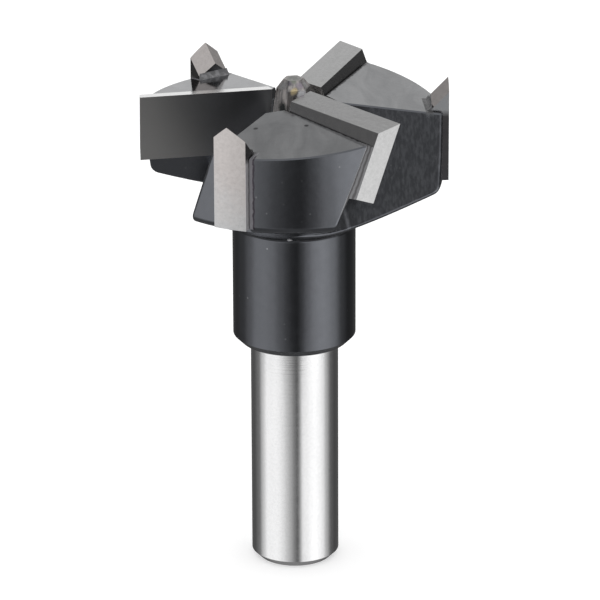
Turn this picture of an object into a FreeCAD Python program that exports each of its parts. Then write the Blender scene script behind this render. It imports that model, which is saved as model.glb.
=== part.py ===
import FreeCAD, Part
import math
import os

# Carbide-tipped hinge-boring bit of the forstner kind, 35 mm, for a 10 mm chuck.
# Millimetres, +Z along the axis towards the cutting end, origin at the centre of
# the shank's end face. Seen from above the bit turns counter-clockwise.
#
# Each wing has its own frame: x runs outwards along its cutting edge, y points
# the way the bit turns, and z is the part's own height.

# Overall sizes
cutting_diameter = 35.0
wing_count = 3
first_wing_angle = 190.7        # direction of the first cutting edge
cutting_height = 56.9           # the plane that the cutting edges sweep
spur_lead = 0.6                 # the spur tips stand this far above the cutting edges

# Shank
shank_diameter = 10.0
shank_length = 26.8
shank_chamfer = 0.8
clamp_flat_depth = 1.0
clamp_flat_angle = 90.0         # the flat faces away from the front
thread_tap_diameter = 4.2       # tapping size of the M5 thread for a length stop
thread_depth = 12.0
thread_mouth_diameter = 5.3
drill_point_angle = 118.0

# Collar and head blank
collar_diameter = 14.0
collar_chamfer = 0.8
neck_round = 0.6                # inside corner between the collar and the head
head_depth = 15.8               # from the cutting plane down to the collar's top
underside_slope = 24.2
rim_clearance = 0.7             # the rim is this much smaller in radius than the cut
rim_round = 1.2

# Carbide cutter plates
rake_angle = 22.0
plate_thickness = 2.4
plate_height = 9.3              # along the rake face
edge_lead = 0.4                 # the cutting edge runs this far ahead of the axis
relief_angle = 12.0             # fall of the top face behind the cutting edge
side_relief_angle = 8.0
plate_inner_gap = 0.05          # from the centre point's corner to each plate's inner end

# Gullets
flank_angle = 68.5              # the trailing flank, measured back from the cutting edge
flank_offset = 0.3              # where the flank crosses the cutting plane, from the axis
flank_tilt = 20.0
gullet_floor_offset = 1.5       # the floor's distance from the axis in the cutting plane
gullet_floor_slope = 24.2
gullet_round = 1.0

# Wing tops
top_drop = 1.3                  # top face below the cutting plane, close behind the plate
top_fall_back = 6.7             # slope of the top face away from the plate
top_fall_out = 1.7              # slope of the top face towards the rim
groove_width = 0.4
groove_depth = 0.2
heel_width = 0.45               # steel left standing behind each plate's outer end
trailing_edge_round = 0.4       # where a wing's trailing flank meets the rim
top_edge_chamfer = 0.15         # where a wing's top meets the rim

# Scoring spurs
spur_angle = 65.5               # tip of the spur, measured back from the cutting edge
spur_thickness = 2.0
spur_ahead = 2.2                # from the tip to the spur's leading side
spur_behind = 1.6
spur_shoulder_drop = 1.25
spur_ridge_drop = 2.0           # how far the ridge falls inwards over the thickness
spur_height = 11.8
pocket_gap = 0.1                # braze gap on either side of a spur
bead_size = 0.65                # braze bead at the foot of a spur's inner face

# Centre point
centre_lead = 1.0               # its flat top stands this far above the cutting edges
centre_root_depth = 3.2         # its seat lies this far below the cutting plane
centre_top_width = 2.3          # across the corners
centre_shoulder_width = 3.9     # at the height of the cutting plane
centre_root_width = 4.8
centre_recess = 3.6             # distance of the recess walls from the axis

# Sizes that follow from the ones above
cutting_radius = cutting_diameter / 2
rim_radius = cutting_radius - rim_clearance
shank_radius = shank_diameter / 2
collar_radius = collar_diameter / 2
head_height = cutting_height - head_depth
spur_tip_height = cutting_height + spur_lead
centre_top_height = cutting_height + centre_lead
rake_run = math.tan(math.radians(rake_angle))
flank_run = math.tan(math.radians(flank_tilt))
floor_run = math.tan(math.radians(gullet_floor_slope))
plate_depth = plate_height * math.cos(math.radians(rake_angle))
plate_back_drop = plate_depth - plate_thickness * math.sin(math.radians(rake_angle))
corner_reach = math.sqrt(cutting_radius ** 2 - edge_lead ** 2)
spur_inner = cutting_radius - spur_thickness
spur_foot = spur_tip_height - spur_height
plate_inner = centre_root_width / 2 + plate_inner_gap
reach = 2 * cutting_radius      # long enough for any cutter to leave the blank

up = FreeCAD.Vector(0, 0, 1)
origin = FreeCAD.Vector(0, 0, 0)


def point(x, y, z):
    return FreeCAD.Vector(x, y, z)


def polar(radius, degrees, z=0.0):
    angle = math.radians(degrees)
    return point(radius * math.cos(angle), radius * math.sin(angle), z)


def loop(points):
    """A closed wire through the points."""
    return Part.makePolygon(points + points[:1])


def prism(points, direction):
    """The points' flat outline, drawn out along a direction."""
    return Part.Face(loop(points)).extrude(direction)


def flat_sided(lower, upper):
    """A solid with flat sides between two outlines of as many corners."""
    wires = [loop(lower), loop(upper)]
    for i in range(len(lower)):
        wires.append(loop([lower[i - 1], lower[i], upper[i], upper[i - 1]]))
    return Part.makeSolid(Part.makeShell([Part.Face(wire) for wire in wires]))


def rounded(corners):
    """A closed wire through corners given as (point, radius), each rounded by its radius."""
    edges = []
    ends = []
    for i, (corner, radius) in enumerate(corners):
        back = (corners[i - 1][0] - corner).normalize()
        on = (corners[(i + 1) % len(corners)][0] - corner).normalize()
        half = back.getAngle(on) / 2
        setback = radius / math.tan(half)
        ends.append((corner + back * setback, corner + on * setback))
        if radius:
            middle = corner + (back + on).normalize() * (radius / math.sin(half) - radius)
            edges.append(Part.Arc(ends[-1][0], middle, ends[-1][1]).toShape())
    for i, (start, _) in enumerate(ends):
        edges.append(Part.makeLine(ends[i - 1][1], start))
    return Part.Wire(Part.__sortEdges__(edges))


def meet(first, second):
    """Where two lines cross; each is the angle of its normal and its distance from the axis."""
    a, b = math.radians(first[0]), math.radians(second[0])
    turn = math.sin(b - a)
    x = (first[1] * math.sin(b) - second[1] * math.sin(a)) / turn
    y = (second[1] * math.cos(a) - first[1] * math.cos(b)) / turn
    return x, y


def wing_angles():
    return [first_wing_angle + 360.0 * k / wing_count for k in range(wing_count)]


def turned(shape, degrees):
    """A copy of a shape, turned about the axis of the bit."""
    copy = shape.copy()
    copy.rotate(origin, up, degrees)
    return copy


def around(shape):
    """One copy of a shape for each wing."""
    return [turned(shape, angle) for angle in wing_angles()]


def rake_at(z):
    """y of the rake face at a height."""
    return edge_lead - (cutting_height - z) * rake_run


def seat_at(z):
    """y of the steel seat behind the plate at a height."""
    return rake_at(z) - plate_thickness / math.cos(math.radians(rake_angle))


def flank_at(z):
    """Distance of a wing's trailing flank from the axis at a height."""
    return flank_offset + (cutting_height - z) * flank_run


def floor_at(z):
    """Distance of a gullet's floor from the axis at a height."""
    return gullet_floor_offset + (cutting_height - z) * floor_run


def top_at(x, y):
    """Height of a wing's top face."""
    back = (y - seat_at(cutting_height)) * math.tan(math.radians(top_fall_back))
    return cutting_height - top_drop + back - x * math.tan(math.radians(top_fall_out))


def turned_blank():
    """Shank, collar and head before the gullets are milled, as one turned profile."""
    slope = math.radians(underside_slope)
    rim_height = head_height + (rim_radius - collar_radius) * math.tan(slope)
    outline = rounded([
        (point(0, 0, 0), 0),
        (point(shank_radius - shank_chamfer, 0, 0), 0),
        (point(shank_radius, 0, shank_chamfer), 0),
        (point(shank_radius, 0, shank_length), 0),
        (point(collar_radius - collar_chamfer, 0, shank_length), 0),
        (point(collar_radius, 0, shank_length + collar_chamfer), 0),
        (point(collar_radius, 0, head_height), neck_round),
        (point(rim_radius, 0, rim_height), rim_round),
        (point(rim_radius, 0, cutting_height), 0),
        (point(0, 0, cutting_height), 0),
    ])
    return Part.Face(outline).revolve(origin, up, 360)


def gullet():
    """The chip space in front of a cutter: its seat, a floor, and the flank of the next wing."""
    next_flank = 360.0 / wing_count - flank_angle - 90
    outwards = (next_flank + 90) / 2

    def outline(z):
        seat = (90, seat_at(z))
        floor = (0, floor_at(z))
        flank = (next_flank, flank_at(z))
        mouth = (outwards, reach)
        corners = [meet(seat, floor), meet(floor, flank), meet(flank, mouth), meet(mouth, seat)]
        return [point(x, y, z) for x, y in corners]

    low = outline(shank_length)
    space = flat_sided(low, outline(spur_tip_height))
    inner = [e for e in space.Edges if is_gullet_corner(e, low[:2])]
    return space.makeFillet(gullet_round, inner)


def is_gullet_corner(edge, corners):
    ends = [v.Point for v in edge.Vertexes]
    if abs(ends[0].z - ends[1].z) < 1:
        return False
    return any(end.distanceToPoint(corner) < 1e-6 for end in ends for corner in corners)


def above_wing_top():
    """Everything above one wing's sloping top face, as far as the gullets on either side."""
    behind = (360.0 / wing_count + flank_angle) / 2
    corners = [polar(0, 0), polar(reach, 0), polar(reach, -behind / 2), polar(reach, -behind)]
    face = [point(c.x, c.y, top_at(c.x, c.y)) for c in corners]
    return prism(face, up * reach)


def top_groove():
    """The shallow grinding groove where the wing's top meets the back of the plate."""
    ends = []
    for x in (0, reach):
        y = seat_at(top_at(x, seat_at(cutting_height)))
        ends.append(point(x, y, top_at(x, y) - groove_depth))
    start, end = ends
    side = point(0, groove_width, 0)
    return prism([start - side, end - side, end + side, start + side], up * groove_width)


def side_relief_at(y):
    """x of the plate's outer end, which is ground back behind the cutting corner."""
    return corner_reach - (edge_lead - y) * math.tan(math.radians(side_relief_angle))


def cutter():
    """A carbide plate: rake face in front, relief faces on top and at the outer end."""
    low = cutting_height - plate_depth
    relief = math.tan(math.radians(relief_angle))
    # Where the relief face, falling backwards, runs out at the plate's back
    back_drop = relief * (edge_lead - seat_at(cutting_height)) / (1 - relief * rake_run)
    top_back = cutting_height - back_drop
    low_back = cutting_height - plate_back_drop
    section = [
        point(plate_inner, edge_lead, cutting_height),
        point(plate_inner, rake_at(low), low),
        point(plate_inner, seat_at(low_back), low_back),
        point(plate_inner, seat_at(top_back), top_back),
    ]
    return prism(section, point(reach, 0, 0)).cut(beyond_outer_end())


def beyond_outer_end():
    """What is ground off a plate's outer end."""
    corners = [(side_relief_at(reach), reach), (2 * reach, reach),
               (2 * reach, -reach), (side_relief_at(-reach), -reach)]
    return prism([point(x, y, 0) for x, y in corners], up * 2 * reach)


def heel():
    """Steel left standing behind a plate's outer end, which carries the plate beyond the rim."""
    def outline(z):
        seat = seat_at(z)
        rim_y = seat - heel_width
        rim_x = math.sqrt(rim_radius ** 2 - rim_y ** 2)
        root = rim_x - heel_width
        return [point(side_relief_at(seat), seat, z), point(rim_x, rim_y, z),
                point(root, rim_y, z), point(root, seat, z)]

    ends = [loop(outline(z)) for z in (cutting_height - plate_back_drop, cutting_height)]
    return Part.makeLoft(ends, True, True).cut(above_wing_top())


def spur_frame(shape):
    """Turns a shape drawn with its tip on the x axis to the spur's place on the wing."""
    return turned(shape, -spur_angle)


def spur_slice(gap, foot, top):
    """An upright bar from a spur's inner face outwards, wider than the spur by the gap."""
    behind, ahead = -spur_behind - gap, spur_ahead + gap
    corners = [(spur_inner, behind), (reach, behind), (reach, ahead), (spur_inner, ahead)]
    return prism([point(x, y, foot) for x, y in corners], up * (top - foot))


def spur():
    """A scoring spur: a plate on edge whose top is ground to a point at the cutting radius."""
    blank = spur_slice(0, spur_foot, spur_tip_height)
    cut_circle = turned(Part.makeCylinder(cutting_radius, spur_tip_height), 180)
    blank = blank.common(cut_circle)
    for side in (-spur_behind, spur_ahead):
        blank = blank.cut(above_spur_bevel(side))
    return spur_frame(blank)


def above_spur_bevel(side):
    """What is ground off one side of a spur's top, from the ridge down to the shoulder."""
    tip = point(cutting_radius, 0, spur_tip_height)
    along = point(spur_thickness, 0, spur_ridge_drop) * 2
    down = point(0, side, -spur_shoulder_drop) * 2
    return prism([tip + along, tip - along, tip - along + down, tip + along + down], up * spur_height)


def spur_pocket():
    """The slot in the rim that a spur is brazed into, open above and below."""
    return spur_frame(spur_slice(pocket_gap, head_height, spur_tip_height))


def braze_bead():
    """The bead of braze at the foot of a spur's inner face, hollow-sided, on the wing's top."""
    tip = polar(spur_inner, -spur_angle)
    foot = top_at(tip.x, tip.y)
    root = foot - bead_size
    upper = point(spur_inner, 0, foot + bead_size)
    lower = point(spur_inner - bead_size, 0, foot)
    hollow = point(spur_inner - bead_size * 0.4, 0, foot + bead_size * 0.4)
    outline = Part.Wire([
        Part.Arc(upper, hollow, lower).toShape(),
        Part.makeLine(lower, point(lower.x, 0, root)),
        Part.makeLine(point(lower.x, 0, root), point(spur_inner, 0, root)),
        Part.makeLine(point(spur_inner, 0, root), upper),
    ])
    bead = Part.Face(outline).extrude(point(0, spur_ahead + spur_behind, 0))
    bead.translate(point(0, -spur_behind, 0))
    return spur_frame(bead)


def centre_recess_space():
    """The three-sided recess around the centre point, its walls along the three cutters."""
    walls = [(90 + 360.0 * k / wing_count, centre_recess) for k in range(wing_count)]
    corners = [meet(walls[k], walls[(k + 1) % wing_count]) for k in range(wing_count)]
    z = cutting_height - centre_root_depth
    return prism([point(x, y, z) for x, y in corners], up * reach)


def hexagon(across_corners, z):
    return [polar(across_corners / 2, first_wing_angle + 60 * k, z) for k in range(6)]


def centre_point():
    """The blunt six-sided centre that steadies the bit."""
    root = hexagon(centre_root_width, cutting_height - centre_root_depth)
    shoulder = hexagon(centre_shoulder_width, cutting_height)
    top = hexagon(centre_top_width, centre_top_height)
    return flat_sided(root, shoulder).fuse(flat_sided(shoulder, top)).removeSplitter()


def clamp_flat():
    """The flat that the chuck's screw bears on, along the whole shank."""
    box = Part.makeBox(shank_diameter, shank_diameter, shank_length)
    box.translate(point(shank_radius - clamp_flat_depth, -shank_radius, 0))
    return turned(box, clamp_flat_angle)


def end_thread():
    """Tapped hole in the shank's end for a length stop, with a countersunk mouth."""
    tap = thread_tap_diameter / 2
    mouth = thread_mouth_diameter / 2
    tip = tap / math.tan(math.radians(drill_point_angle / 2))
    outline = [
        point(0, 0, 0),
        point(mouth, 0, 0),
        point(tap, 0, mouth - tap),
        point(tap, 0, thread_depth),
        point(0, 0, thread_depth + tip),
    ]
    return Part.Face(loop(outline)).revolve(origin, up, 360)


def steel_body():
    """The one steel piece: turned, milled, rounded, then let in for the carbide."""
    steel = turned_blank()
    steel = steel.cut(around(gullet()))
    steel = steel.cut(around(above_wing_top()))
    steel = steel.makeFillet(trailing_edge_round, [e for e in steel.Edges if is_trailing_edge(e)])
    steel = steel.makeChamfer(top_edge_chamfer, [e for e in steel.Edges if is_top_edge(e)])
    steel = steel.cut(turned(centre_recess_space(), first_wing_angle))
    steel = steel.fuse(around(heel()) + around(braze_bead()))
    steel = steel.cut(around(top_groove()))
    steel = steel.cut(around(cutter()))
    steel = steel.cut(around(spur_pocket()))
    steel = steel.cut(clamp_flat())
    steel = steel.cut(end_thread())
    return steel.removeSplitter()


def rim_edge_tops(edge):
    """For each end of an edge on the rim, whether it is up at a wing's top; otherwise nothing."""
    ends = [vertex.Point for vertex in edge.Vertexes]
    if any(abs(math.hypot(end.x, end.y) - rim_radius) > 1e-4 for end in ends):
        return []
    return [end.z > cutting_height - spur_height / 2 for end in ends]


def is_top_edge(edge):
    """Whether an edge is where a wing's top meets the rim."""
    tops = rim_edge_tops(edge)
    return bool(tops) and all(tops)


def is_trailing_edge(edge):
    """Whether an edge is where a wing's trailing flank meets the rim."""
    tops = rim_edge_tops(edge)
    back = [(first_wing_angle - math.degrees(math.atan2(vertex.Y, vertex.X))) % (360.0 / wing_count)
            for vertex in edge.Vertexes]
    return any(tops) and not all(tops) and min(back) > flank_angle / 2


def build():
    nodes = {"body": steel_body(), "centre_point": centre_point()}
    for number, shape in enumerate(around(cutter()), start=1):
        nodes[f"cutter_{number}"] = shape
    for number, shape in enumerate(around(spur()), start=1):
        nodes[f"spur_{number}"] = shape
    return nodes


os.makedirs("parts", exist_ok=True)
for name, shape in build().items():
    shape.exportStep(f"parts/{name}.step")
    print(name, "solids", len(shape.Solids), "volume", round(shape.Volume, 3), "valid", shape.isValid())
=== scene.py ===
import bpy
import math
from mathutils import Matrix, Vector

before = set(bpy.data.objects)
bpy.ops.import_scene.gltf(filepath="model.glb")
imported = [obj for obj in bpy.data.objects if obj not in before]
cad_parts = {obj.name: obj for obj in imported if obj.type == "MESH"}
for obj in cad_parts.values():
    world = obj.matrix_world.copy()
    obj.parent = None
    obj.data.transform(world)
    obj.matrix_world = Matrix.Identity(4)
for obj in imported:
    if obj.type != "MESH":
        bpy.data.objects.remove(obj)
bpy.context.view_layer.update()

MM = 0.001

# Camera, found from the photograph: eye, the point it looks at, roll and focal length
EYE = Vector((0, -537.45, 236.88)) * MM
TARGET = Vector((0.65, 0, 31.25)) * MM
ROLL = math.radians(-0.223)
FOCAL_LENGTH = 302.7
SENSOR_WIDTH = 36.0

# Sizes of the solids that the materials follow, as in the part's source
SHANK_TOP = 26.8 * MM
COLLAR_TOP = 41.1 * MM
WING_TOP_LOW = 52.5 * MM
CUTTING_HEIGHT = 56.9 * MM
FIRST_WING = 190.7
RAKE_ANGLE = math.radians(22)
EDGE_LEAD = 0.4 * MM
PLATE_THICKNESS = 2.4 * MM
SEAT_LEAD = EDGE_LEAD - PLATE_THICKNESS / math.cos(RAKE_ANGLE)
SPUR_BACK = 65.5
SPUR_INNER = 15.5 * MM
SPUR_AHEAD = 2.2 * MM
SPUR_BEHIND = 1.6 * MM
SPUR_FOOT = 45.7 * MM
BEAD = 0.65 * MM

# Rows of braze marks on the heel behind each plate, in radians to the metre
HEEL_ROWS = 16 / (0.62 * MM)

# Floor: half its width, the glow that brings it up to white, and the ring that only metal mirrors
FLOOR_REACH = 4.0
PAPER_GLOW = 0.28
RING_INNER = 73 * MM
RING_OUTER = 190 * MM

# Marks seen in the photograph, with a painted highlight and a painted shadow: (x, y, z) and radius in
# millimetres, and for the centre a colour
WING_PITS = [((-4.22, -8.16, 54.75), 0.34), ((1.44, -8.31, 55.13), 0.25)]
COLLAR_GLINT = ((-0.44, -7.25, 41.38), 0.36)
CENTRE_TINTS_AND_SHADE = [
    ((0.0, 0.0, 57.9), 1.1, (0.24, 0.245, 0.235)),
    ((-1.15, -0.85, 57.2), 0.75, (0.46, 0.455, 0.465)),
    ((-0.35, -1.25, 57.65), 0.42, (0.24, 0.225, 0.255)),
    ((0.05, -1.0, 57.8), 0.38, (0.32, 0.345, 0.295)),
    ((0.75, -1.2, 57.45), 0.50, (0.42, 0.37, 0.44)),
    ((1.3, -0.5, 57.3), 0.60, (0.66, 0.66, 0.66)),
    # Painted shade at the centre point's foot
    ((-1.2, -1.5, 54.8), 1.05, (0.045, 0.05, 0.05)),
]
BRASS_SPOT = ((0.05, -1.65, 56.85), 0.48)
PALE_BRAZE = ((0.9, -1.6, 56.3), 0.62)


def new_material(name):
    """A node material with nothing in it but its output and a metal shader."""
    material = bpy.data.materials.new(name)
    material.use_nodes = True
    tree = material.node_tree
    tree.nodes.clear()
    output = tree.nodes.new("ShaderNodeOutputMaterial")
    shader = tree.nodes.new("ShaderNodeBsdfPrincipled")
    shader.inputs["Metallic"].default_value = 1.0
    tree.links.new(shader.outputs["BSDF"], output.inputs["Surface"])
    return material, Nodes(tree), shader


class Nodes:
    """Short calls for the nodes that the materials share."""

    def __init__(self, tree):
        self.tree = tree

    def add(self, kind, **settings):
        node = self.tree.nodes.new(kind)
        for key, value in settings.items():
            setattr(node, key, value)
        return node

    def feed(self, socket, value):
        """Links an output to a socket, or sets the socket to a plain value."""
        if isinstance(value, bpy.types.NodeSocket):
            self.tree.links.new(value, socket)
        else:
            socket.default_value = value

    def position(self, scale=(1, 1, 1)):
        coordinates = self.add("ShaderNodeTexCoord")
        mapping = self.add("ShaderNodeMapping")
        mapping.inputs["Scale"].default_value = scale
        self.feed(mapping.inputs["Vector"], coordinates.outputs["Object"])
        return mapping.outputs["Vector"]

    def noise(self, scale, stretch=(1, 1, 1), detail=3.0, roughness=0.55, distortion=0.0):
        """Noise with so many waves to the metre, stretched along the axes."""
        node = self.add("ShaderNodeTexNoise")
        self.feed(node.inputs["Vector"], self.position(stretch))
        node.inputs["Scale"].default_value = scale
        node.inputs["Detail"].default_value = detail
        node.inputs["Roughness"].default_value = roughness
        node.inputs["Distortion"].default_value = distortion
        return node.outputs["Fac"]

    def math(self, operation, first, second=0.0):
        node = self.add("ShaderNodeMath", operation=operation)
        self.feed(node.inputs[0], first)
        self.feed(node.inputs[1], second)
        return node.outputs[0]

    def remap(self, value, low, high, to_low=0.0, to_high=1.0, smooth=False):
        node = self.add("ShaderNodeMapRange")
        if smooth:
            node.interpolation_type = "SMOOTHSTEP"
        self.feed(node.inputs["Value"], value)
        node.inputs["From Min"].default_value = low
        node.inputs["From Max"].default_value = high
        node.inputs["To Min"].default_value = to_low
        node.inputs["To Max"].default_value = to_high
        return node.outputs["Result"]

    def mix(self, factor, first, second):
        """A colour between two colours, or a number between two numbers."""
        is_color = any(isinstance(value, tuple) or getattr(value, "type", "") == "RGBA"
                       for value in (first, second))
        node = self.add("ShaderNodeMix", data_type="RGBA" if is_color else "FLOAT")
        sockets = [socket for socket in node.inputs if socket.enabled]
        for socket, value in zip(sockets, (factor, first, second)):
            self.feed(socket, (*value, 1.0) if isinstance(value, tuple) else value)
        return [socket for socket in node.outputs if socket.enabled][0]

    def between(self, value, low, high, soft):
        """1 where a value lies between two others, with soft edges."""
        above = self.remap(value, low - soft, low + soft)
        return self.math("MULTIPLY", above, self.remap(value, high - soft, high + soft, 1.0, 0.0))

    def wrapped(self, value, half):
        """A value brought between minus and plus half by whole turns."""
        node = self.add("ShaderNodeMath", operation="WRAP")
        self.feed(node.inputs[0], value)
        node.inputs[1].default_value = half
        node.inputs[2].default_value = -half
        return node.outputs[0]

    def spot(self, place, radius, ragged, core=0.7):
        """1 within a radius of a place, both in millimetres, fading from the core to a ragged edge."""
        node = self.add("ShaderNodeVectorMath", operation="DISTANCE")
        self.feed(node.inputs[0], self.position())
        node.inputs[1].default_value = Vector(place) * MM
        reach = self.math("ADD", node.outputs["Value"], self.math("MULTIPLY", ragged, radius * MM))
        return self.remap(reach, core * radius * MM, 1.1 * radius * MM, 1.0, 0.0)

    def bump(self, height, distance):
        node = self.add("ShaderNodeBump")
        node.inputs["Distance"].default_value = distance
        self.feed(node.inputs["Height"], height)
        return node.outputs["Normal"]


def split_position(nodes):
    """x, y and height of the point being shaded."""
    split = nodes.add("ShaderNodeSeparateXYZ")
    nodes.feed(split.inputs[0], nodes.position())
    return split.outputs


def split_normal(nodes):
    """The surface's direction, in the same axes."""
    split = nodes.add("ShaderNodeSeparateXYZ")
    nodes.feed(split.inputs[0], nodes.add("ShaderNodeTexCoord").outputs["Normal"])
    return split.outputs


def from_axis(nodes, x, y):
    """Distance from the bit's axis."""
    squares = nodes.math("ADD", nodes.math("MULTIPLY", x, x), nodes.math("MULTIPLY", y, y))
    return nodes.math("SQRT", squares)


def wing_frame(nodes, degrees):
    """Position along and across a direction that repeats on each of the three wings."""
    x, y, _ = split_position(nodes)
    radius = from_axis(nodes, x, y)
    turn = nodes.math("SUBTRACT", nodes.math("ARCTAN2", y, x), math.radians(degrees))
    turn = nodes.wrapped(turn, math.radians(60))
    return (nodes.math("MULTIPLY", radius, nodes.math("COSINE", turn)),
            nodes.math("MULTIPLY", radius, nodes.math("SINE", turn)))


def spur_braze(nodes, wander):
    """Where braze shows on the steel: a strip ahead of each spur and the bead inside the spur; and the
    dark lines on either side, painted shade at the pocket's edges."""
    along, across = wing_frame(nodes, FIRST_WING - SPUR_BACK)
    _, _, z = split_position(nodes)
    wavy = nodes.math("ADD", across, wander)
    strip = nodes.between(wavy, SPUR_AHEAD, SPUR_AHEAD + 0.5 * MM, 0.05 * MM)
    above_foot = nodes.remap(z, SPUR_FOOT - 0.1 * MM, SPUR_FOOT + 0.1 * MM)
    outside = nodes.remap(along, SPUR_INNER - 0.7 * MM, SPUR_INNER - 0.5 * MM)
    strip = nodes.math("MULTIPLY", nodes.math("MULTIPLY", strip, outside), above_foot)
    bead = nodes.between(along, SPUR_INNER - BEAD - 0.08 * MM, SPUR_INNER + 0.1 * MM, 0.04 * MM)
    beside = nodes.between(across, -SPUR_AHEAD, SPUR_AHEAD + 0.3 * MM, 0.15 * MM)
    bead = nodes.math("MULTIPLY", bead, beside)
    bead = nodes.math("MULTIPLY", bead, nodes.remap(z, WING_TOP_LOW, WING_TOP_LOW + 0.5 * MM))
    edge = nodes.between(wavy, SPUR_AHEAD + 0.45 * MM, SPUR_AHEAD + 0.65 * MM, 0.04 * MM)
    trailing = nodes.between(wavy, -SPUR_BEHIND - 0.3 * MM, -SPUR_BEHIND, 0.05 * MM)
    edge = nodes.math("MAXIMUM", edge, trailing)
    edge = nodes.math("MULTIPLY", edge, nodes.remap(along, SPUR_INNER, SPUR_INNER + 0.2 * MM))
    edge = nodes.math("MULTIPLY", edge, above_foot)
    return strip, bead, edge


def behind_seat(nodes, ragged):
    """Where braze shows behind each plate, on the heel at the rim; the groove across the top, which is
    painted dark as shade; and the distance behind the plate's seat."""
    along, across = wing_frame(nodes, FIRST_WING)
    _, _, z = split_position(nodes)
    fall = nodes.math("MULTIPLY", nodes.math("SUBTRACT", CUTTING_HEIGHT, z), math.tan(RAKE_ANGLE))
    behind = nodes.math("SUBTRACT", nodes.math("SUBTRACT", SEAT_LEAD, fall), across)
    outside = nodes.remap(along, 15.4 * MM, 15.7 * MM)
    heel = nodes.math("MULTIPLY", outside, nodes.between(behind, -0.1 * MM, 0.56 * MM, 0.04 * MM))
    wavy = nodes.math("ADD", behind, nodes.math("MULTIPLY", ragged, 0.3 * MM))
    groove = nodes.between(wavy, -0.3 * MM, 0.44 * MM, 0.05 * MM)
    groove = nodes.math("MULTIPLY", groove, nodes.remap(along, 15.4 * MM, 15.7 * MM, 1.0, 0.0))
    groove = nodes.math("MULTIPLY", groove, nodes.remap(z, WING_TOP_LOW, WING_TOP_LOW + 0.5 * MM))
    return heel, groove, behind


def specks(nodes):
    """Tiny round specks, far apart."""
    cells = nodes.add("ShaderNodeTexVoronoi")
    nodes.feed(cells.inputs["Vector"], nodes.position())
    cells.inputs["Scale"].default_value = 1000
    chosen = nodes.add("ShaderNodeSeparateColor")
    nodes.feed(chosen.inputs[0], cells.outputs["Color"])
    near = nodes.remap(cells.outputs["Distance"], 0.05, 0.14, 1.0, 0.0)
    return nodes.math("MULTIPLY", near, nodes.math("GREATER_THAN", chosen.outputs[0], 0.70))


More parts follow.
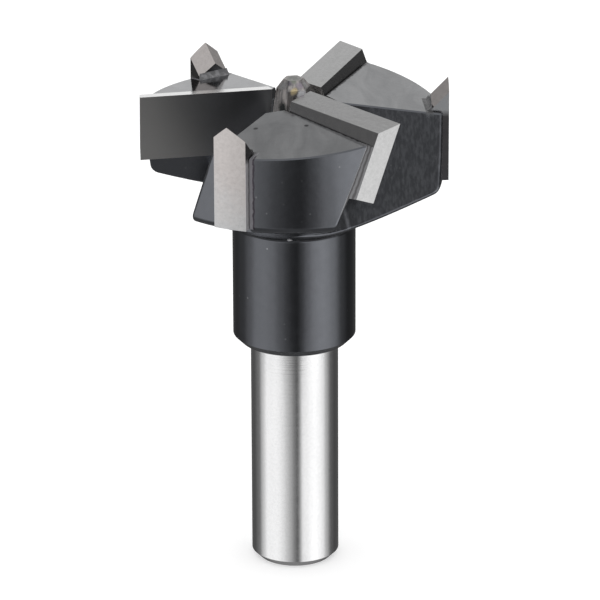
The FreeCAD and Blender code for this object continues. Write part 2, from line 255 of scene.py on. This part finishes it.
def steel_material():
    """Black-finished steel with a bright ground shank, and braze where the carbide is let in."""
    material, nodes, shader = new_material("steel")
    x, y, z = split_position(nodes)
    _, _, facing_up = split_normal(nodes)
    bright = nodes.math("LESS_THAN", z, SHANK_TOP - 0.05 * MM)
    on_top = nodes.math("MULTIPLY", nodes.remap(facing_up, 0.9, 0.97),
                        nodes.remap(z, WING_TOP_LOW, WING_TOP_LOW + MM))
    milled = nodes.between(facing_up, 0.15, 0.6, 0.05)
    ragged = nodes.remap(nodes.noise(1300, detail=2.0), 0.3, 0.7, -0.4, 0.4)

    mottle = nodes.noise(900, detail=4.0)
    streaks = nodes.noise(3200, (1.0, 1.0, 0.035), detail=3.0)
    black = nodes.mix(mottle, (0.152, 0.158, 0.173), (0.180, 0.187, 0.205))
    streaked = nodes.math("MULTIPLY", milled, nodes.remap(streaks, 0.42, 0.62))
    black = nodes.mix(streaked, black, (0.252, 0.261, 0.283))
    # Painted shade: milled steel near the axis, in the gullet corners, is painted nearly black.
    gullet_shade = nodes.remap(from_axis(nodes, x, y), 7.2 * MM, 9.0 * MM, 0.65, 0.0)
    gullet_shade = nodes.math("MULTIPLY", milled, gullet_shade)
    black = nodes.mix(gullet_shade, black, (0.06, 0.06, 0.065))
    # Painted shade: the collar is painted 12 % darker than the rest of the black steel.
    collar = nodes.remap(z, COLLAR_TOP - 0.1 * MM, COLLAR_TOP + 0.1 * MM, 0.12, 0.0)
    black = nodes.mix(collar, black, (0.0, 0.0, 0.0))
    black = nodes.mix(specks(nodes), black, (0.32, 0.325, 0.34))
    # Painted highlight: a small pale matt spot on the collar, just under the head.
    painted_glint = nodes.spot(*COLLAR_GLINT, ragged)
    black = nodes.mix(painted_glint, black, (0.40, 0.40, 0.41))

    brushed = nodes.remap(nodes.noise(330, (1.0, 0.35, 1.0), detail=4.0, distortion=1.2), 0.35, 0.65)
    top = nodes.mix(brushed, (0.268, 0.272, 0.280), (0.356, 0.360, 0.368))
    # Painted shade: the first wing's top gets a darker, shaded copy of the tops' colour.
    shaded_top = nodes.mix(brushed, (0.175, 0.18, 0.19), (0.22, 0.225, 0.235))
    on_first = nodes.math("MULTIPLY", nodes.remap(x, -4 * MM, -3 * MM, 1.0, 0.0),
                          nodes.remap(y, MM, 2 * MM))
    top = nodes.mix(on_first, top, shaded_top)
    for place, radius in WING_PITS:
        top = nodes.mix(nodes.spot(place, radius, ragged), top, (0.05, 0.05, 0.055))
    color = nodes.mix(on_top, black, top)

    wander = nodes.math("MULTIPLY", ragged, 0.2 * MM)
    strip, bead, edge = spur_braze(nodes, wander)
    strip_color = nodes.mix(mottle, (0.14, 0.135, 0.15), (0.20, 0.195, 0.21))
    lumps = nodes.remap(nodes.noise(1700), 0.45, 0.6)
    # The braze beads carry painted light and shade: a dark, shaded copy of their colour at the front and a
    # lighter, lit copy at the rear.
    shaded_bead = nodes.mix(lumps, (0.06, 0.06, 0.063), (0.13, 0.13, 0.135))
    lit_rear_bead = nodes.mix(lumps, (0.13, 0.13, 0.135), (0.24, 0.24, 0.25))
    bead_color = nodes.mix(nodes.remap(y, 6 * MM, 7 * MM), shaded_bead, lit_rear_bead)
    color = nodes.mix(strip, color, strip_color)
    color = nodes.mix(bead, color, bead_color)
    # Painted shade: dark lines along the pocket's edges on either side of each spur.
    color = nodes.mix(edge, color, (0.085, 0.075, 0.09))

    heel, groove, behind = behind_seat(nodes, ragged)
    rows = nodes.math("ADD", behind, nodes.math("MULTIPLY", ragged, 0.07 * MM))
    rows = nodes.math("SINE", nodes.math("MULTIPLY", rows, HEEL_ROWS))
    heel_color = nodes.mix(nodes.remap(rows, -0.6, 0.6), (0.19, 0.185, 0.19), (0.37, 0.37, 0.38))
    color = nodes.mix(heel, color, heel_color)
    # Painted shade: the groove behind each plate, across the wing's top, is painted nearly black.
    color = nodes.mix(groove, color, (0.045, 0.045, 0.05))

    grain = nodes.mix(0.5, nodes.noise(3400, detail=4.0), nodes.noise(600, (1.0, 1.0, 0.12), detail=3.0))
    ground = nodes.mix(nodes.remap(grain, 0.35, 0.65), (0.90, 0.90, 0.905), (0.985, 0.985, 0.99))
    color = nodes.mix(bright, color, ground)
    nodes.feed(shader.inputs["Base Color"], color)
    # Matt where braze lies and at the painted highlight on the collar; metal elsewhere.
    matt_patches = nodes.math("MAXIMUM", painted_glint, nodes.math("MAXIMUM", strip, bead))
    nodes.feed(shader.inputs["Metallic"], nodes.math("SUBTRACT", 1.0, matt_patches))

    blur = nodes.remap(nodes.noise(1500, detail=2.0), 0.3, 0.7, 0.14, 0.19)
    blur = nodes.mix(on_top, blur, nodes.remap(mottle, 0.3, 0.7, 0.09, 0.12))
    blur = nodes.mix(nodes.math("MAXIMUM", matt_patches, heel), blur, 0.4)
    nodes.feed(shader.inputs["Roughness"], blur)

    lines = nodes.math("MULTIPLY", nodes.noise(5000, (0.03, 0.03, 1.0), detail=3.0), 2.0)
    paint = nodes.math("MULTIPLY", streaks, milled)
    paint = nodes.math("ADD", paint, nodes.math("MULTIPLY", mottle, 2.5))
    relief = nodes.mix(bright, paint, lines)
    nodes.feed(shader.inputs["Normal"], nodes.bump(relief, 0.004 * MM))
    return material


def ground_carbide(nodes, tint):
    """Ground carbide of a tint, with a fine grain."""
    along, across = wing_frame(nodes, FIRST_WING)
    _, _, z = split_position(nodes)
    ground_along = nodes.add("ShaderNodeCombineXYZ")
    for socket, value in zip(ground_along.inputs, (nodes.math("MULTIPLY", along, 0.12), across, z)):
        nodes.feed(socket, value)
    lines = nodes.add("ShaderNodeTexNoise")
    nodes.feed(lines.inputs["Vector"], ground_along.outputs[0])
    lines.inputs["Scale"].default_value = 3200
    grain = nodes.noise(2300, detail=5.0, roughness=0.7)
    grain = nodes.remap(nodes.mix(0.35, grain, lines.outputs["Fac"]), 0.30, 0.70, 0.90, 1.10)
    scaled = nodes.add("ShaderNodeVectorMath", operation="SCALE")
    nodes.feed(scaled.inputs[0], tint)
    nodes.feed(scaled.inputs["Scale"], grain)
    return scaled.outputs["Vector"]


def finish_carbide(nodes, shader, dark, pale, ground):
    """Bright where the carbide is ground; dark, as brazed and blackened, where it isn't.
    Gives the roughness."""
    nodes.feed(shader.inputs["Base Color"], nodes.mix(ground, dark, pale))
    nodes.feed(shader.inputs["Normal"], nodes.bump(nodes.noise(9000), 0.001 * MM))
    blur = nodes.remap(nodes.noise(2600), 0.3, 0.7, 0.15, 0.21)
    return nodes.mix(ground, 0.24, blur)


def plate_material():
    """A cutter plate: its back is left dark, and its rake face is matt, with painted shade making it
    darker inwards.
    """
    material, nodes, shader = new_material("cutter carbide")
    facing_right, _, facing_up = split_normal(nodes)
    back = nodes.between(facing_up, 0.2, 0.6, 0.05)
    rake = nodes.between(facing_up, -0.6, -0.2, 0.05)
    mottle = nodes.noise(1100, detail=4.0)
    dark = nodes.mix(mottle, (0.30, 0.30, 0.305), (0.42, 0.415, 0.42))
    # Painted shade on the dark backs: a back that faces +X gets a darker, shaded copy of the colour.
    shaded_back = nodes.mix(mottle, (0.12, 0.12, 0.125), (0.18, 0.178, 0.18))
    dark = nodes.mix(nodes.remap(facing_right, 0.2, 0.6), dark, shaded_back)
    tint = nodes.mix(nodes.remap(nodes.noise(150, detail=1.0), 0.38, 0.62), (0.605, 0.613, 0.623),
                     (0.625, 0.614, 0.608))
    pale = ground_carbide(nodes, tint)
    along, _ = wing_frame(nodes, FIRST_WING)
    # Painted shade: the rake face is painted darker towards its inner end.
    inward_shade = nodes.mix(nodes.remap(along, 5 * MM, 16 * MM), (0.27, 0.27, 0.275), (0.48, 0.475, 0.47))
    end = nodes.between(facing_up, -0.1, 0.1, 0.02)
    pale = nodes.mix(end, pale, ground_carbide(nodes, (0.552, 0.555, 0.563)))
    pale = nodes.mix(rake, pale, inward_shade)
    blur = finish_carbide(nodes, shader, dark, pale, nodes.math("SUBTRACT", 1.0, back))
    nodes.feed(shader.inputs["Roughness"], nodes.mix(rake, blur, 0.38))
    return material


def spur_material():
    """A spur, ground only at its outer face and its bevels, with braze up its leading side."""
    material, nodes, shader = new_material("spur carbide")
    x, y, z = split_position(nodes)
    facing_x, facing_y, facing_up = split_normal(nodes)
    outward = nodes.math("ADD", nodes.math("MULTIPLY", x, facing_x), nodes.math("MULTIPLY", y, facing_y))
    outward = nodes.math("DIVIDE", outward, from_axis(nodes, x, y))
    ground = nodes.math("MAXIMUM", nodes.remap(outward, 0.7, 0.8), nodes.remap(facing_up, 0.3, 0.4))
    _, across = wing_frame(nodes, FIRST_WING - SPUR_BACK)
    above = nodes.remap(z, WING_TOP_LOW + 0.8 * MM, WING_TOP_LOW + 1.6 * MM)
    # Painted reflection: above the wing's top the unground trailing side is painted pale; the leading side
    # stays dark.
    side = nodes.mix(nodes.remap(across, -MM, MM), (0.55, 0.56, 0.58), (0.125, 0.12, 0.12))
    dark = nodes.mix(nodes.noise(1100, detail=4.0), (0.085, 0.085, 0.09), (0.125, 0.12, 0.125))
    dark = nodes.mix(above, dark, side)
    matt_patches = nodes.math("MULTIPLY", nodes.remap(across, SPUR_AHEAD - 0.04 * MM, SPUR_AHEAD - 0.01 * MM),
                      nodes.remap(above, 0.0, 1.0, 1.0, 0.0))
    flux_color = nodes.mix(nodes.noise(1500), (0.22, 0.21, 0.225), (0.33, 0.325, 0.33))
    warm_height = nodes.math("ADD", z, nodes.remap(nodes.noise(260), 0.3, 0.7, -3 * MM, 3 * MM))
    tint = nodes.mix(nodes.remap(warm_height, SPUR_FOOT, WING_TOP_LOW), (0.605, 0.605, 0.61),
                     (0.618, 0.580, 0.567))
    pale = ground_carbide(nodes, tint)
    blur = finish_carbide(nodes, shader, nodes.mix(matt_patches, dark, flux_color), pale, ground)
    nodes.feed(shader.inputs["Roughness"], blur)
    nodes.feed(shader.inputs["Metallic"], nodes.math("SUBTRACT", 1.0, matt_patches))
    return material


def centre_material():
    """The centre point: tinted by heat, with painted shade darkening its foot, and spots of braze."""
    material, nodes, shader = new_material("centre")
    ragged = nodes.remap(nodes.noise(1100), 0.3, 0.7, -0.35, 0.35)
    streaks = nodes.remap(nodes.noise(2400, (1.0, 1.0, 0.16), detail=3.0), 0.38, 0.62)
    color = nodes.mix(streaks, (0.30, 0.29, 0.29), (0.66, 0.62, 0.60))
    for place, radius, tint in CENTRE_TINTS_AND_SHADE:
        color = nodes.mix(nodes.spot(place, radius, ragged, core=0.3), color, tint)
    brass = nodes.spot(*BRASS_SPOT, ragged, core=0.5)
    color = nodes.mix(brass, color, (0.64, 0.53, 0.32))
    pale = nodes.spot(*PALE_BRAZE, ragged)
    color = nodes.mix(pale, color, (0.50, 0.50, 0.52))
    nodes.feed(shader.inputs["Base Color"], color)
    matt = nodes.math("MAXIMUM", pale, nodes.math("MULTIPLY", brass, 0.35))
    nodes.feed(shader.inputs["Metallic"], nodes.math("SUBTRACT", 1.0, matt))
    nodes.feed(shader.inputs["Roughness"], nodes.remap(nodes.noise(2600), 0.3, 0.7, 0.25, 0.4))
    nodes.feed(shader.inputs["Normal"], nodes.bump(nodes.noise(2400), 0.04 * MM))
    return material


def dress(node_name, material):
    """Gives a CAD node its material."""
    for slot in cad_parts[node_name].material_slots:
        slot.link = "OBJECT"
        slot.material = material


def camera():
    data = bpy.data.cameras.new("camera")
    data.lens = FOCAL_LENGTH
    data.sensor_width = SENSOR_WIDTH
    data.clip_start = 0.01
    body = bpy.data.objects.new("camera", data)
    body.location = EYE
    body.rotation_euler = (TARGET - EYE).to_track_quat("-Z", "Y").to_euler()
    body.rotation_euler.rotate_axis("Z", ROLL)
    bpy.context.scene.collection.objects.link(body)
    bpy.context.scene.camera = body


def compass(nodes, x, y):
    """Direction seen from the axis: 0 is towards -Y, the photographed side, and +90 degrees is +X."""
    return nodes.math("ARCTAN2", x, nodes.math("MULTIPLY", y, -1.0))


def level_ramp(nodes, turn, stops):
    """A smooth run of grey levels by compass direction; each stop is (degrees, level)."""
    ramp = nodes.add("ShaderNodeValToRGB")
    ramp.color_ramp.interpolation = "EASE"
    elements = ramp.color_ramp.elements
    while len(elements) < len(stops):
        elements.new(0.5)
    for element, (degrees, level) in zip(elements, stops):
        element.position = 0.5 + degrees / 360
        element.color = (level, level, level, 1)
    nodes.feed(ramp.inputs["Fac"], nodes.remap(turn, -math.pi, math.pi))
    return ramp.outputs["Color"]


def floor():
    """White paper. Metal sees the studio through it, but for a ring of light round the bit."""
    mesh = bpy.data.meshes.new("floor")
    corners = [(x * FLOOR_REACH, y * FLOOR_REACH, 0) for x, y in ((-1, -1), (1, -1), (1, 1), (-1, 1))]
    mesh.from_pydata(corners, [], [(0, 1, 2, 3)])
    sheet = bpy.data.objects.new("floor", mesh)
    bpy.context.scene.collection.objects.link(sheet)
    material, nodes, shader = new_material("paper")
    shader.inputs["Metallic"].default_value = 0.0
    shader.inputs["Base Color"].default_value = (0.9, 0.9, 0.9, 1)
    shader.inputs["Roughness"].default_value = 0.9
    shader.inputs["Specular IOR Level"].default_value = 0.0
    shader.inputs["Emission Color"].default_value = (1, 1, 1, 1)
    light_path = nodes.add("ShaderNodeLightPath").outputs
    glow = nodes.math("MULTIPLY", light_path["Is Camera Ray"], PAPER_GLOW)
    nodes.feed(shader.inputs["Emission Strength"], glow)

    x, y, _ = split_position(nodes)
    ring = nodes.add("ShaderNodeEmission")
    nodes.feed(ring.inputs["Color"], level_ramp(nodes, compass(nodes, x, y), [
        (-180, 0.10), (-137, 0.08), (-108, 0.18), (-90, 0.47), (-72, 0.86), (-55, 0.89), (-40, 0.76),
        (-25, 0.44), (-12, 0.22), (-4, 0.12), (5, 0.08), (14, 0.23), (25, 0.61), (35, 0.98), (44, 1.14),
        (54, 1.23), (64, 1.11), (75, 0.88), (97, 0.22), (117, 0.07), (180, 0.10)]))
    mirrored = nodes.add("ShaderNodeMixShader")
    in_ring = nodes.between(from_axis(nodes, x, y), RING_INNER, RING_OUTER, 3 * MM)
    nodes.feed(mirrored.inputs[0], in_ring)
    nodes.feed(mirrored.inputs[1], nodes.add("ShaderNodeBsdfTransparent").outputs[0])
    nodes.feed(mirrored.inputs[2], ring.outputs[0])
    paper = nodes.add("ShaderNodeMixShader")
    nodes.feed(paper.inputs[0], light_path["Is Glossy Ray"])
    nodes.feed(paper.inputs[1], shader.outputs["BSDF"])
    nodes.feed(paper.inputs[2], mirrored.outputs[0])
    nodes.feed(nodes.tree.nodes["Material Output"].inputs["Surface"], paper.outputs[0])
    mesh.materials.append(material)


def studio():
    """Plain white light for matt surfaces. Metal mirrors a photographer's studio instead: two tall
    soft boxes in front with a dark gap between them, a pale wall behind and a pale ceiling."""
    world = bpy.context.scene.world or bpy.data.worlds.new("studio")
    bpy.context.scene.world = world
    world.use_nodes = True
    world.node_tree.nodes.clear()
    nodes = Nodes(world.node_tree)
    background = nodes.add("ShaderNodeBackground")
    nodes.feed(nodes.add("ShaderNodeOutputWorld").inputs["Surface"], background.outputs[0])

    split = nodes.add("ShaderNodeSeparateXYZ")
    nodes.feed(split.inputs[0], nodes.add("ShaderNodeTexCoord").outputs["Generated"])
    x, y, rise = split.outputs
    turn = compass(nodes, x, y)
    low = level_ramp(nodes, turn, [
        (-180, 0.10), (-137, 0.07), (-110, 0.15), (-93, 0.56), (-79, 0.93), (-66, 0.93), (-54, 0.95),
        (-43, 0.90), (-32, 0.77), (-21, 0.55), (-10, 0.37), (-2, 0.20), (7, 0.075), (13, 0.30), (20, 0.84),
        (32, 0.90), (43, 1.02), (54, 1.10), (68, 1.0), (79, 0.83), (93, 0.41), (110, 0.10), (131, 0.06),
        (180, 0.10)])
    middle = level_ramp(nodes, turn, [
        (-180, 1.10), (-155, 1.05), (-135, 0.20), (-96, 0.04), (-70, 0.50), (-45, 0.95), (-30, 0.50),
        (-12, 0.10), (8, 0.08), (30, 0.30), (50, 0.60), (80, 0.06), (135, 0.05), (155, 1.05), (180, 1.10)])
    high = level_ramp(nodes, turn, [
        (-180, 0.40), (-150, 0.40), (-105, 0.30), (-60, 0.55), (-35, 0.50), (6, 0.28), (45, 0.50),
        (85, 0.30), (135, 0.36), (155, 0.40), (180, 0.40)])

    # Rise is the sine of the height above the horizon: floor, low, middle, high and ceiling
    mirrored = nodes.mix(nodes.remap(rise, -0.26, -0.07, smooth=True), low, middle)
    mirrored = nodes.mix(nodes.remap(rise, -0.09, 0.57), mirrored, high)
    mirrored = nodes.mix(nodes.remap(rise, 0.57, 0.82), mirrored, (0.65, 0.65, 0.65))
    mirrored = nodes.mix(nodes.remap(rise, -0.57, -0.82, smooth=True), mirrored, (0.20, 0.20, 0.20))
    glossy = nodes.add("ShaderNodeLightPath").outputs["Is Glossy Ray"]
    nodes.feed(background.inputs["Color"], nodes.mix(glossy, (1.0, 1.0, 1.0), mirrored))


def build():
    materials = {"body": steel_material(), "centre_point": centre_material(),
                 "cutter": plate_material(), "spur": spur_material()}
    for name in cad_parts:
        dress(name, materials[name.rstrip("_123")])


build()
camera()
floor()
studio()
bpy.context.scene.view_settings.view_transform = "Standard"
